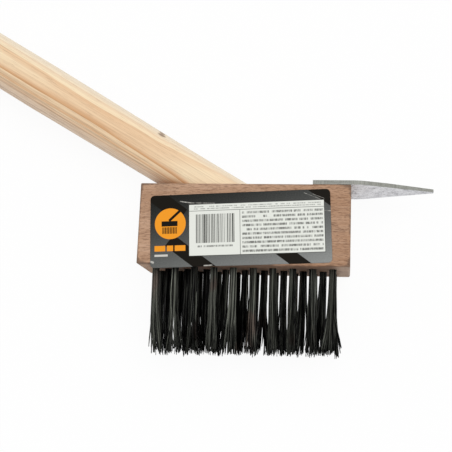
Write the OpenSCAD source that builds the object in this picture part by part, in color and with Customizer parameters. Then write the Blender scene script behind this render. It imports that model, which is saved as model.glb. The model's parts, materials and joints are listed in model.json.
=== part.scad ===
// Wire brush for the joints between paving stones, with a long handle and a
// side scraper.  It lies on the back of its wooden block: X runs along the
// block towards the scraper's tip, Y from the bristles to the handle's side,
// and Z up out of the labelled face.  The origin is the middle of the back.

/* [Block] */
// Length of the wooden block, along X
block_l = 120; // [116:1:150]
// Height of the block, from the bristle face to the handle's face
block_h = 47; // [45:0.5:60]
// Depth of the block, from its back to the labelled face
block_d = 38; // [36:0.5:50]
// Rounding of the block's edges
block_round = 1.1; // [0.5:0.1:3]

/* [Handle] */
// Overall length of the handle, with the tenon in the block
handle_l = 1200; // [900:10:1500]
// Diameter of the straight shaft
handle_d = 30; // [28:0.5:32]
// Diameter of the tenon glued into the block
tenon_d = 27.5; // [22:0.5:28]
// Depth of the tenon's end below the block's top, along the handle
tenon_depth = 36; // [24:0.5:38]
// Length of the cone between the tenon and the straight shaft
cone_l = 100; // [60:1:200]
// Chamfer on the tenon's end
tenon_chamfer = 1.5; // [0.5:0.1:3]
// Height of the rounded far end
dome_h = 7; // [3:0.5:12]
// Angle between the handle and the block's top face
handle_angle = 30.8; // [28:0.1:40]
// Distance from the block's left end to the handle's axis, on the top face
handle_inset = 39.7; // [38:0.1:50]
// Radial gap between the tenon and its socket
socket_play = 0.15; // [0.05:0.05:0.4]

/* [Scraper] */
// Thickness of the steel plate
plate_t = 2.4; // [2.3:0.1:4]
// Length of the plate that lies on the block
plate_seat = 21.4; // [18:0.1:30]
// Length of the plate from the block's end to its tip
plate_reach = 46.5; // [30:0.5:60]
// Gap between the plate's long edges and the block's two faces
plate_margin = 0.5; // [0.2:0.1:2]
// Distance from the block's end to the corner where the taper starts
taper_start = 4.5; // [3:0.5:15]
// Width of the blunt tip
tip_w = 2.4; // [1:0.1:8]
// Thickness of the tip, where the plate's top is ground down
tip_t = 1.7; // [1:0.1:2.2]
// Length of the ground face behind the tip
grind_l = 26; // [10:1:36]
// Radius of the soft corners where the taper starts
taper_round = 22; // [8:1:30]

/* [Tufts] */
// Tufts in the front row and in the back row
outer_tufts = 10; // [7:1:10]
// Distance from the block's end to the middle of the last outer tuft
tuft_edge = 9.6; // [8:0.1:12]
// Distance between the rows
row_pitch = 9.5; // [9:0.1:11]
// Diameter of the drilled tuft holes
tuft_hole_d = 4.4; // [4.2:0.1:4.8]
// Depth of the drilled tuft holes
tuft_hole_depth = 11; // [9:0.5:13]
// Radial gap between a tuft's root and its hole
tuft_play = 0.1; // [0.05:0.05:0.2]
// Mean free length of the wires
wire_l = 46; // [30:1:70]
// Difference between the longest wires and the shortest
wire_ragged = 8; // [1:0.5:12]
// Width of one flat wire
wire_w = 0.8; // [0.5:0.05:0.85]
// Thickness of one flat wire
wire_t = 0.45; // [0.3:0.05:0.6]
// Lean of a wire for each millimetre from the middle of its tuft, in degrees
wire_spread = 1.9; // [1:0.1:2.2]

/* [Staples] */
// Length of the flat staple across each tuft hole
staple_l = 6.4; // [5.6:0.1:7]
// Height of a staple, along the hole
staple_h = 1.6; // [1:0.1:2.5]
// Thickness of a staple
staple_t = 0.5; // [0.4:0.05:0.8]
// Distance from the bottom of the hole to the staple
staple_lift = 1.8; // [1.2:0.1:3]
// Gap round a staple in the block and in the tuft
staple_play = 0.08; // [0.04:0.01:0.12]

/* [Label] */
// Width of the label
label_w = 102.1; // [60:0.5:110]
// Height of the label
label_h = 41.8; // [20:0.5:44]
// Thickness of the label
label_t = 0.3; // [0.2:0.1:0.6]
// Radius of the label's corners
label_round = 2.4; // [1:0.1:6]
// Turn of the carelessly stuck label, in degrees
label_turn = 2.86; // [-3:0.01:3]
// Place of the label's middle along the block
label_x = -1.7; // [-3:0.1:3]
// Place of the label's middle across the block's height
label_y = -2.6; // [-3:0.1:3]

/* [Screws] */
// Shank diameter of the wood screws
screw_d = 3.8; // [3:0.1:4.5]
// Overall length of the scraper's screws
screw_l = 22; // [16:1:24]
// Head diameter of the countersunk wood screws
head_d = 7.4; // [6:0.1:8]
// Distance between the scraper's two screws
screw_spacing = 18; // [12:0.5:22]
// Radial gap between a screw and its countersunk hole in the plate
screw_play = 0.25; // [0.1:0.05:0.5]
// Depth of the scraper's screw heads below the plate's top
head_sink = 0.2; // [0.1:0.05:0.4]
// Radial gap between a screw and the wood
pilot_play = 0.05; // [0.02:0.01:0.1]
// Width of the slots of the cross recess
recess_w = 1; // [0.6:0.1:1.4]
// Span of the cross recess
recess_span = 4; // [3:0.1:4.6]
// Depth of the cross recess
recess_depth = 1.5; // [1:0.1:2]
// Length of the screw that holds the handle in the block
lock_screw_l = 16; // [12:0.5:20]
// Depth of that screw's head below the block's back
lock_sink = 0.4; // [0.2:0.1:1]
// Distance from the top of the socket's axis to that screw, along the handle
lock_inset = 17; // [14:0.5:22]

/* [Hidden] */
$fn = 96;
inner_tufts = outer_tufts - 1;
tuft_pitch = (block_l - 2 * tuft_edge) / inner_tufts;
row_names = ["front", "middle", "back"];
row_counts = [outer_tufts, inner_tufts, outer_tufts];
handle_x = handle_inset - block_l / 2;
tenon_r = tenon_d / 2;
shaft_r = handle_d / 2;
head_r = head_d / 2;
screw_r = screw_d / 2;
// The tenon clears the slanting mouth of its socket before the cone begins.
mouth_clear = 2;
tenon_top = (tenon_r + socket_play) / tan(handle_angle) + mouth_clear;
cone_top = tenon_top + cone_l;
handle_top = handle_l - tenon_depth;
socket_floor = 0.3;
dome_r = (shaft_r * shaft_r + dome_h * dome_h) / (2 * dome_h);
plate_half = block_d / 2 - plate_margin;
plate_back_x = block_l / 2 - plate_seat;
plate_bend_x = block_l / 2 + taper_start;
plate_tip_x = block_l / 2 + plate_reach;
taper_angle = atan((plate_half - tip_w / 2) / (plate_tip_x - plate_bend_x));
taper_tangent = taper_round * tan(taper_angle / 2);
screw_x = block_l / 2 - plate_seat / 2;
screw_point = 4;
// The heads are countersunk at 90 degrees.
head_h = head_r - screw_r;
root_r = tuft_hole_d / 2 - tuft_play;
root_gap = 0.2;
root_bury = 1.5;
wire_pitch_x = 1.05;
wire_pitch_z = 0.85;
root_skin = 0.4;
wire_field_r = root_r - root_skin;
wire_sway = 0.35;
wire_seed = 7;
// Wires stand on a grid inside the tuft's round root.
wire_grid = [
    for (i = [-1 : 1])
        for (k = [-2 : 2])
            if (norm([i * wire_pitch_x, k * wire_pitch_z]) <= wire_field_r)
                [i * wire_pitch_x, k * wire_pitch_z]
];
cut = 0.5;

function tuft_x(row, i) = (i - (row_counts[row] - 1) / 2) * tuft_pitch;
function tuft_z(row) = block_d / 2 + (1 - row) * row_pitch;
function tuft_name(row, i) = str("tuft_", row_names[row], "_", i + 1);

// A rectangle centred on the origin, with round corners.
module round_rect(w, h, r) {
    square([w - 2 * r, h], center = true);
    square([w, h - 2 * r], center = true);
    for (x = [-1, 1])
        for (y = [-1, 1])
            translate([x * (w / 2 - r), y * (h / 2 - r)])
                circle(r);
}

// The block before it is drilled: round along all its edges.
module block_blank() {
    intersection() {
        linear_extrude(block_d)
            round_rect(block_l, block_h, block_round);
        translate([0, block_h / 2, block_d / 2])
            rotate([90, 0, 0])
                linear_extrude(block_h)
                    round_rect(block_l, block_d, block_round);
        translate([-block_l / 2, 0, block_d / 2])
            rotate([90, 0, 90])
                linear_extrude(block_l)
                    round_rect(block_h, block_d, block_round);
    }
}

// Stands its children on the handle's axis: their Z runs out of the block,
// from the point where the axis leaves the block's top face.
module on_handle_axis() {
    translate([handle_x, block_h / 2, block_d / 2])
        rotate([0, 0, -handle_angle])
            rotate([0, -90, 0])
                children();
}

// Puts its children at the mouth of one tuft's hole, with Z out of the block.
module at_tuft(row, i) {
    translate([tuft_x(row, i), -block_h / 2, tuft_z(row)])
        rotate([90, 0, 0])
            children();
}

// Puts its children on the head of each of the scraper's screws, with Z out
// of the plate.
module at_scraper_screws() {
    for (side = [-1, 1])
        translate([
            screw_x,
            block_h / 2 + plate_t - head_sink,
            block_d / 2 + side * screw_spacing / 2
        ])
            rotate([-90, 0, 0])
                children();
}

// Puts its children on the block's back where the handle's screw goes in,
// with Z out of the wood.
module at_lock_screw() {
    translate([
        handle_x + lock_inset * cos(handle_angle),
        block_h / 2 - lock_inset * sin(handle_angle),
        lock_sink
    ])
        rotate([180, 0, 0])
            children();
}

// One drilled hole, with the two nicks that its staple cuts on the way in.
module tuft_hole() {
    translate([0, 0, -tuft_hole_depth])
        cylinder(h = tuft_hole_depth + cut, d = tuft_hole_d);
    translate([
        -staple_l / 2 - staple_play,
        -staple_t / 2 - staple_play,
        staple_lift - staple_play - tuft_hole_depth
    ])
        cube([
            staple_l + 2 * staple_play,
            staple_t + 2 * staple_play,
            tuft_hole_depth - staple_lift + staple_play + cut
        ]);
}

module block() {
    color("burlywood")
        difference() {
            block_blank();
            on_handle_axis()
                translate([0, 0, -tenon_depth - socket_floor])
                    cylinder(h = tenon_depth + socket_floor + tenon_top + tenon_r, r = tenon_r + socket_play);
            for (row = [0 : 2])
                for (i = [0 : row_counts[row] - 1])
                    at_tuft(row, i)
                        tuft_hole();
            at_scraper_screws()
                wood_screw_shank(screw_l, pilot_play);
            at_lock_screw()
                screw_space(lock_screw_l, pilot_play, lock_sink);
        }
}

// The turned handle: tenon, cone, straight shaft and rounded end.
module handle_blank() {
    rotate_extrude() {
        polygon([
            [0, -tenon_depth],
            [tenon_r - tenon_chamfer, -tenon_depth],
            [tenon_r, tenon_chamfer - tenon_depth],
            [tenon_r, tenon_top],
            [shaft_r, cone_top],
            [shaft_r, handle_top - dome_h],
            [0, handle_top - dome_h]
        ]);
        intersection() {
            translate([0, handle_top - dome_r])
                circle(dome_r);
            translate([0, handle_top - dome_h - cut])
                square([shaft_r, dome_h + cut]);
        }
    }
}

module handle() {
    color("wheat")
        difference() {
            on_handle_axis()
                handle_blank();
            at_lock_screw()
                screw_space(lock_screw_l, pilot_play, lock_sink);
        }
}

// One soft corner of the scraper: the slice of a circle between the long edge
// and the taper, as deep as the middle line.
module soft_corner() {
    intersection() {
        translate([plate_bend_x - taper_tangent, plate_half - taper_round])
            circle(taper_round);
        translate([plate_bend_x - taper_tangent, 0])
            square([2 * taper_tangent, plate_half]);
        polygon([
            [plate_back_x, 0],
            [plate_back_x, plate_half],
            [plate_bend_x, plate_half],
            [plate_tip_x, tip_w / 2],
            [plate_tip_x, 0]
        ]);
    }
}

// The scraper's outline, with its middle line on X.
module plate_outline() {
    bend_in = [plate_bend_x - taper_tangent, plate_half];
    bend_out = [
        plate_bend_x + taper_tangent * cos(taper_angle),
        plate_half - taper_tangent * sin(taper_angle)
    ];
    polygon([
        [plate_back_x, -plate_half],
        [bend_in.x, -bend_in.y],
        [bend_out.x, -bend_out.y],
        [plate_tip_x, -tip_w / 2],
        [plate_tip_x, tip_w / 2],
        bend_out,
        bend_in,
        [plate_back_x, plate_half]
    ]);
    soft_corner();
    mirror([0, 1])
        soft_corner();
}

// What is ground off the plate's top towards its tip.
module tip_grind() {
    top = block_h / 2 + plate_t;
    fall = (plate_t - tip_t) / grind_l;
    linear_extrude(block_d)
        polygon([
            [plate_tip_x - grind_l, top],
            [plate_tip_x + cut, top - fall * (grind_l + cut)],
            [plate_tip_x + cut, top + cut],
            [plate_tip_x - grind_l, top + cut]
        ]);
}

module scraper() {
    color("silver")
        difference() {
            translate([0, block_h / 2 + plate_t, block_d / 2])
                rotate([90, 0, 0])
                    linear_extrude(plate_t)
                        plate_outline();
            tip_grind();
            at_scraper_screws()
                screw_space(screw_l, screw_play, head_sink);
        }
}

// A screw's shank, from its head down to its point; grow widens it for its
// hole.
module wood_screw_shank(l, grow = 0) {
    translate([0, 0, screw_point - l])
        cylinder(h = l - screw_point, r = screw_r + grow);
    translate([0, 0, -l - grow])
        cylinder(h = screw_point + grow, r1 = screw_r / 6 + grow, r2 = screw_r + grow);
}

// The space of a countersunk screw whose head lies sink below the surface.
module screw_space(l, grow, sink) {
    wood_screw_shank(l, grow);
    translate([0, 0, -head_h - grow])
        cylinder(h = head_h, r1 = screw_r + grow, r2 = head_r + grow);
    translate([0, 0, -grow])
        cylinder(h = sink + grow + cut, r = head_r + grow);
}

// A countersunk wood screw with a cross recess in its flat head.
module wood_screw(l) {
    difference() {
        union() {
            wood_screw_shank(l);
            translate([0, 0, -head_h])
                cylinder(h = head_h, r1 = screw_r, r2 = head_r);
        }
        translate([0, 0, -recess_depth])
            for (turn = [0, 90])
                rotate(turn)
                    translate([-recess_span / 2, -recess_w / 2, 0])
                        cube([recess_span, recess_w, recess_depth + cut]);
    }
}

module scraper_screws() {
    color("lightgray")
        at_scraper_screws()
            wood_screw(screw_l);
}

module handle_screw() {
    color("lightgray")
        at_lock_screw()
            wood_screw(lock_screw_l);
}

module label() {
    color("dimgray")
        translate([label_x, label_y, block_d])
            rotate(label_turn)
                linear_extrude(label_t)
                    round_rect(label_w, label_h, label_round);
}

module staples() {
    color("gray")
        for (row = [0 : 2])
            for (i = [0 : row_counts[row] - 1])
                at_tuft(row, i)
                    translate([-staple_l / 2, -staple_t / 2, staple_lift - tuft_hole_depth])
                        cube([staple_l, staple_t, staple_h]);
}

// The folded wires of one tuft inside their hole, with room for the staple.
module tuft_root() {
    difference() {
        translate([0, 0, root_gap - tuft_hole_depth])
            cylinder(h = tuft_hole_depth - root_gap, r = root_r);
        translate([
            -root_r - cut,
            -staple_t / 2 - staple_play,
            staple_lift - staple_play - tuft_hole_depth
        ])
            cube([
                2 * (root_r + cut),
                staple_t + 2 * staple_play,
                staple_h + 2 * staple_play
            ]);
    }
}

// One flat wire that leans away from the middle of its tuft.
module wire(base, l, sway) {
    translate([base[0], base[1], 0])
        rotate([-wire_spread * base[1] + sway[0], wire_spread * base[0] + sway[1], 0])
            translate([-wire_w / 2, -wire_t / 2, -root_bury])
                cube([wire_w, wire_t, l + root_bury]);
}

module tuft(row, i) {
    n = len(wire_grid);
    seed = wire_seed + 100 * row + i;
    lengths = rands(wire_l - wire_ragged / 2, wire_l + wire_ragged / 2, n, seed);
    sways = rands(-wire_sway, wire_sway, 2 * n, seed + 50);
    color("dimgray")
        at_tuft(row, i) {
            tuft_root();
            for (k = [0 : n - 1])
                wire(wire_grid[k], lengths[k], [sways[2 * k], sways[2 * k + 1]]);
        }
}

block();
handle();
scraper();
scraper_screws();
handle_screw();
label();
staples();
for (row = [0 : 2])
    for (i = [0 : row_counts[row] - 1])
        tuft(row, i);
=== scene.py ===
"""Wire brush for paving joints: its finishes, wires, print and studio.

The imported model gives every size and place.  The wooden block, the handle, the
scraper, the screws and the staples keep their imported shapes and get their
finishes here.  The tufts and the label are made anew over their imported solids:
each tuft as a bundle of separate flat wires that splay towards their tips, and
the label as a thin printed sheet that has lifted a little from the wood.
"""

import json
import logging
import math
import random
from abc import ABC, abstractmethod
from dataclasses import dataclass, field
from enum import Enum
from typing import Any, Dict, List, Mapping, Optional, Sequence, Tuple, Union

import bpy
from mathutils import Matrix, Vector


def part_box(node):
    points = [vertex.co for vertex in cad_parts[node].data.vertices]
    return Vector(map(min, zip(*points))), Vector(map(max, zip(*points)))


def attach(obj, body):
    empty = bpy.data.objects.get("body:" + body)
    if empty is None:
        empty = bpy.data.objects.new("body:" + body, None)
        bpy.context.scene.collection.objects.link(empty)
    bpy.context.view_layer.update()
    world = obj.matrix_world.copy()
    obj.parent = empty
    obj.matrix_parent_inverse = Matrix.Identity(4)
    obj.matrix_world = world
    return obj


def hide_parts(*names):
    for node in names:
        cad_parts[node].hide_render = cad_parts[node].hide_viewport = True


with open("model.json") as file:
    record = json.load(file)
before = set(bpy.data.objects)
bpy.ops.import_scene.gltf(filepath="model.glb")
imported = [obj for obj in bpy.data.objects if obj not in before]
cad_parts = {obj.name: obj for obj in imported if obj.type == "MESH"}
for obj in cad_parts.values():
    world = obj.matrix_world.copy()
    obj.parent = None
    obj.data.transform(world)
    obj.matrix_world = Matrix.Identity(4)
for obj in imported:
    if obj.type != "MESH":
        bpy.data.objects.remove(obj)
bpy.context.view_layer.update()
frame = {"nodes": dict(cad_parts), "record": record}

log = logging.getLogger("wire_brush")

MM = 0.001
PRINT_EDGE = 0.07

Colour = Tuple[float, float, float]
Pair = Tuple[float, float]
Triple = Tuple[float, float, float]
Key = Union[str, int]


def ink(red: int, green: int, blue: int) -> Colour:
    """Turn display values from 0 to 255 into a linear colour.

    Args:
        red: Display value of the red channel.
        green: Display value of the green channel.
        blue: Display value of the blue channel.

    Returns:
        The colour in linear light.
    """

    def linear(value: int) -> float:
        """Turn one display value into linear light."""
        share = value / 255
        return share / 12.92 if share <= 0.04045 else ((share + 0.055) / 1.055) ** 2.4

    return linear(red), linear(green), linear(blue)


class Slot(Enum):
    """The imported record's material slots that match the new pieces."""

    LABEL = "label_paper"
    WIRE = "brush_wire"


class Row(Enum):
    """Rows of tufts, from the labelled face to the block's back."""

    FRONT = "front"
    MIDDLE = "middle"
    BACK = "back"


class Signal:
    """A number that changes over a surface: a value socket with arithmetic."""

    def __init__(self, tree: "ShaderTree", socket: bpy.types.NodeSocket) -> None:
        """Wrap a socket.

        Args:
            tree: The tree in which the socket's node stands.
            socket: The value socket.
        """
        self.tree = tree
        self.socket = socket

    def _math(self, operation: str, *values: "Link") -> "Signal":
        """Add a Math node.

        Args:
            operation: The node's operation.
            values: Its values, in order.

        Returns:
            The node's result.
        """
        return self.tree.signal("ShaderNodeMath", {"operation": operation}, dict(enumerate(values)))

    def __add__(self, other: "Link") -> "Signal":
        """Return self + other."""
        return self._math("ADD", self, other)

    def __radd__(self, other: "Link") -> "Signal":
        """Return other + self."""
        return self._math("ADD", other, self)

    def __sub__(self, other: "Link") -> "Signal":
        """Return self - other."""
        return self._math("SUBTRACT", self, other)

    def __rsub__(self, other: "Link") -> "Signal":
        """Return other - self."""
        return self._math("SUBTRACT", other, self)

    def __mul__(self, other: "Link") -> "Signal":
        """Return self * other."""
        return self._math("MULTIPLY", self, other)

    def __rmul__(self, other: "Link") -> "Signal":
        """Return other * self."""
        return self._math("MULTIPLY", other, self)

    def __truediv__(self, other: "Link") -> "Signal":
        """Return self / other."""
        return self._math("DIVIDE", self, other)

    def __rtruediv__(self, other: "Link") -> "Signal":
        """Return other / self."""
        return self._math("DIVIDE", other, self)

    def __pow__(self, other: "Link") -> "Signal":
        """Return self ** other."""
        return self._math("POWER", self, other)

    def __rpow__(self, other: "Link") -> "Signal":
        """Return other ** self."""
        return self._math("POWER", other, self)

    def __abs__(self) -> "Signal":
        """Return the distance from zero."""
        return self._math("ABSOLUTE", self)

    def __floor__(self) -> "Signal":
        """Return the whole number below."""
        return self._math("FLOOR", self)

    def part(self) -> "Signal":
        """Return what is above the whole number below."""
        return self._math("FRACT", self)

    def least(self, other: "Link") -> "Signal":
        """Return the smaller of self and other."""
        return self._math("MINIMUM", self, other)

    def most(self, other: "Link") -> "Signal":
        """Return the larger of self and other."""
        return self._math("MAXIMUM", self, other)

    def held(self) -> "Signal":
        """Return self held between 0 and 1."""
        return self.least(1.0).most(0.0)

    def step(self, start: float, end: float) -> "Signal":
        """Rise smoothly from 0 at start to 1 at end.

        Args:
            start: Where the rise begins.
            end: Where it ends; below start, it falls from 1 to 0 instead.

        Returns:
            The smooth step.
        """
        limits = {"Value": self, "From Min": start, "From Max": end}
        return self.tree.signal("ShaderNodeMapRange", {"interpolation_type": "SMOOTHSTEP"}, limits)

    def band(self, low: float, high: float, soft: float) -> "Signal":
        """Be 1 between two limits.

        Args:
            low: The lower limit.
            high: The upper limit.
            soft: How far the band fades beyond its limits.

        Returns:
            The mask of the band.
        """
        middle = (low + high) / 2
        return abs(self - middle).step((high - low) / 2 + soft, (high - low) / 2)


Link = Union[float, Sequence[float], bpy.types.NodeSocket, Signal]


class ShaderTree:
    """The nodes of one material or world."""

    def __init__(self, owner: Union[bpy.types.Material, bpy.types.World]) -> None:
        """Empty an owner's nodes.

        Args:
            owner: The material or world that the nodes belong to.
        """
        owner.use_nodes = True
        self.owner = owner
        self.nodes = owner.node_tree.nodes
        self.links = owner.node_tree.links
        self.nodes.clear()

    @staticmethod
    def _find(sockets: Any, key: Key) -> bpy.types.NodeSocket:
        """Find a socket.

        Args:
            sockets: A node's inputs or outputs.
            key: The socket's identifier, name or number.

        Returns:
            The socket.
        """
        exact = [socket for socket in sockets if socket.identifier == key]
        return exact[0] if exact else sockets[key]

    def add(
        self,
        kind: str,
        settings: Optional[Mapping[str, Any]] = None,
        inputs: Optional[Mapping[Key, Link]] = None,
    ) -> bpy.types.Node:
        """Add a node.

        Args:
            kind: The node's type.
            settings: Its own settings, which are set first; stops are a ramp's.
            inputs: A value or a link for each input that isn't left alone.

        Returns:
            The node.
        """
        node = self.nodes.new(kind)
        for name, value in (settings or {}).items():
            if name == "stops":
                self._lay_stops(node.color_ramp, value)
            else:
                setattr(node, name, value)
        for key, value in (inputs or {}).items():
            target = self._find(node.inputs, key)
            source = value.socket if isinstance(value, Signal) else value
            if isinstance(source, bpy.types.NodeSocket):
                self.links.new(source, target)
            elif target.type == "RGBA":
                target.default_value = (*source, 1.0)
            else:
                target.default_value = source
        return node

    @staticmethod
    def _lay_stops(ramp: bpy.types.ColorRamp, stops: Sequence[Tuple[float, Colour]]) -> None:
        """Give a ramp its stops.

        Args:
            ramp: A new ramp, with its two stops.
            stops: The place and colour of each stop, in rising order.
        """
        while len(ramp.elements) < len(stops):
            ramp.elements.new(1.0)
        for element, (place, colour) in zip(ramp.elements, stops):
            element.position = place
            element.color = (*colour, 1.0)

    def signal(
        self,
        kind: str,
        settings: Optional[Mapping[str, Any]] = None,
        inputs: Optional[Mapping[Key, Link]] = None,
        output: Key = 0,
    ) -> Signal:
        """Add a node and wrap one of its outputs.

        Args:
            kind: The node's type.
            settings: Its own settings.
            inputs: A value or a link for each input that isn't left alone.
            output: The output's identifier, name or number.

        Returns:
            The output as a signal.
        """
        return Signal(self, self._find(self.add(kind, settings, inputs).outputs, output))

    def vector_math(self, operation: str, *values: Link) -> bpy.types.NodeSocket:
        """Add a Vector Math node and return its vector."""
        settings = {"operation": operation}
        return self.add("ShaderNodeVectorMath", settings, dict(enumerate(values))).outputs[0]

    def place(self) -> bpy.types.NodeSocket:
        """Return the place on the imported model, in millimetres."""
        metres = self.add("ShaderNodeTexCoord").outputs["Object"]
        return self.vector_math("MULTIPLY", metres, (1 / MM,) * 3)

    def facing(self) -> Tuple[Signal, Signal, Signal]:
        """Return the three parts of the surface's own direction."""
        return self.parts(self.add("ShaderNodeTexCoord").outputs["Normal"])

    def parts(self, vector: Link) -> Tuple[Signal, Signal, Signal]:
        """Return the X, Y and Z of a vector."""
        x, y, z = self.add("ShaderNodeSeparateXYZ", inputs={0: vector}).outputs
        return Signal(self, x), Signal(self, y), Signal(self, z)

    def joined(self, x: Link, y: Link, z: Link) -> bpy.types.NodeSocket:
        """Return the vector of three numbers."""
        return self.add("ShaderNodeCombineXYZ", inputs={0: x, 1: y, 2: z}).outputs[0]

    def stretched(self, vector: Link, scale: Triple) -> bpy.types.NodeSocket:
        """Return a vector with each part multiplied by its own scale."""
        return self.vector_math("MULTIPLY", vector, scale)

    def along(self, vector: Link, direction: Triple) -> Signal:
        """Return how far a vector reaches along a direction."""
        settings = {"operation": "DOT_PRODUCT"}
        return self.signal("ShaderNodeVectorMath", settings, {0: vector, 1: direction}, "Value")

    def distance(self, vector: Link, point: Link) -> Signal:
        """Return how far a vector lies from a point."""
        settings = {"operation": "DISTANCE"}
        return self.signal("ShaderNodeVectorMath", settings, {0: vector, 1: point}, "Value")

    def noise(
        self, vector: Link, scale: Triple, detail: float = 2.0, roughness: float = 0.5
    ) -> Signal:
        """Add soft noise.

        Args:
            vector: The place, in millimetres.
            scale: Cells of the noise in each millimetre, along each part of the place.
            detail: How many finer layers are added.
            roughness: How much the finer layers count.

        Returns:
            The noise, from 0 to 1 about 0.5.
        """
        place = self.stretched(vector, scale)
        inputs = {"Vector": place, "Scale": 1.0, "Detail": detail, "Roughness": roughness}
        return self.signal("ShaderNodeTexNoise", None, inputs)

    def dice(self, x: Link, y: Link) -> Signal:
        """Return a number from 0 to 1 that jumps with each new pair."""
        inputs = {"Vector": self.joined(x, y, 0.0)}
        return self.signal("ShaderNodeTexWhiteNoise", {"noise_dimensions": "2D"}, inputs, "Value")

    def tint(self, factor: Link, first: Link, second: Link) -> bpy.types.NodeSocket:
        """Mix two colours.

        Args:
            factor: How much of the second colour is laid on.
            first: The colour underneath.
            second: The colour on top.

        Returns:
            The mixed colour.
        """
        settings = {"data_type": "RGBA", "clamp_factor": True}
        inputs = {"Factor_Float": factor, "A_Color": first, "B_Color": second}
        return self._find(self.add("ShaderNodeMix", settings, inputs).outputs, "Result_Color")

    def layered(self, colour: Link, *coats: Tuple[Link, Link]) -> Link:
        """Lay coats of colour over each other.

        Args:
            colour: The colour underneath.
            coats: How much of each coat is laid on, and its colour, from below.

        Returns:
            The colour on top.
        """
        for factor, coat in coats:
            colour = self.tint(factor, colour, coat)
        return colour

    def ramp(self, factor: Link, stops: Sequence[Tuple[float, Colour]]) -> bpy.types.NodeSocket:
        """Return the colour of a ramp at a factor."""
        return self.add("ShaderNodeValToRGB", {"stops": stops}, {"Fac": factor}).outputs[0]

    def bump(self, height: Link, depth: float, strength: float = 1.0) -> bpy.types.NodeSocket:
        """Return the normal of a surface with heights from 0 to depth, in millimetres."""
        inputs = {"Height": height, "Distance": depth * MM, "Strength": strength}
        return self.add("ShaderNodeBump", inputs=inputs).outputs[0]

    def surface(self, inputs: Mapping[Key, Link]) -> None:
        """Finish a material with a Principled shader.

        Args:
            inputs: A value or a link for each of the shader's inputs in use.
        """
        shader = self.add("ShaderNodeBsdfPrincipled", inputs=inputs)
        self.add("ShaderNodeOutputMaterial", inputs={"Surface": shader.outputs[0]})

    def seen(self) -> Signal:
        """Tell the camera's view from what only lights the scene.

        Returns:
            1 for what is seen straight, in gloss or through glass, and else 0.
        """
        rays = self.add("ShaderNodeLightPath").outputs
        straight, gloss, through = (
            Signal(self, rays[name])
            for name in ("Is Camera Ray", "Is Glossy Ray", "Is Transmission Ray")
        )
        return (straight + gloss + through).held()


class Finish(ABC):
    """What a piece's surface looks like."""

    @abstractmethod
    def paint(self, tree: ShaderTree) -> None:
        """Add the finish's nodes to a tree.

        Args:
            tree: The tree that is painted.
        """

    def material(self) -> bpy.types.Material:
        """Make a material with this finish.

        Returns:
            The new material.
        """
        tree = ShaderTree(bpy.data.materials.new(type(self).__name__))
        self.paint(tree)
        return tree.owner


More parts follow.
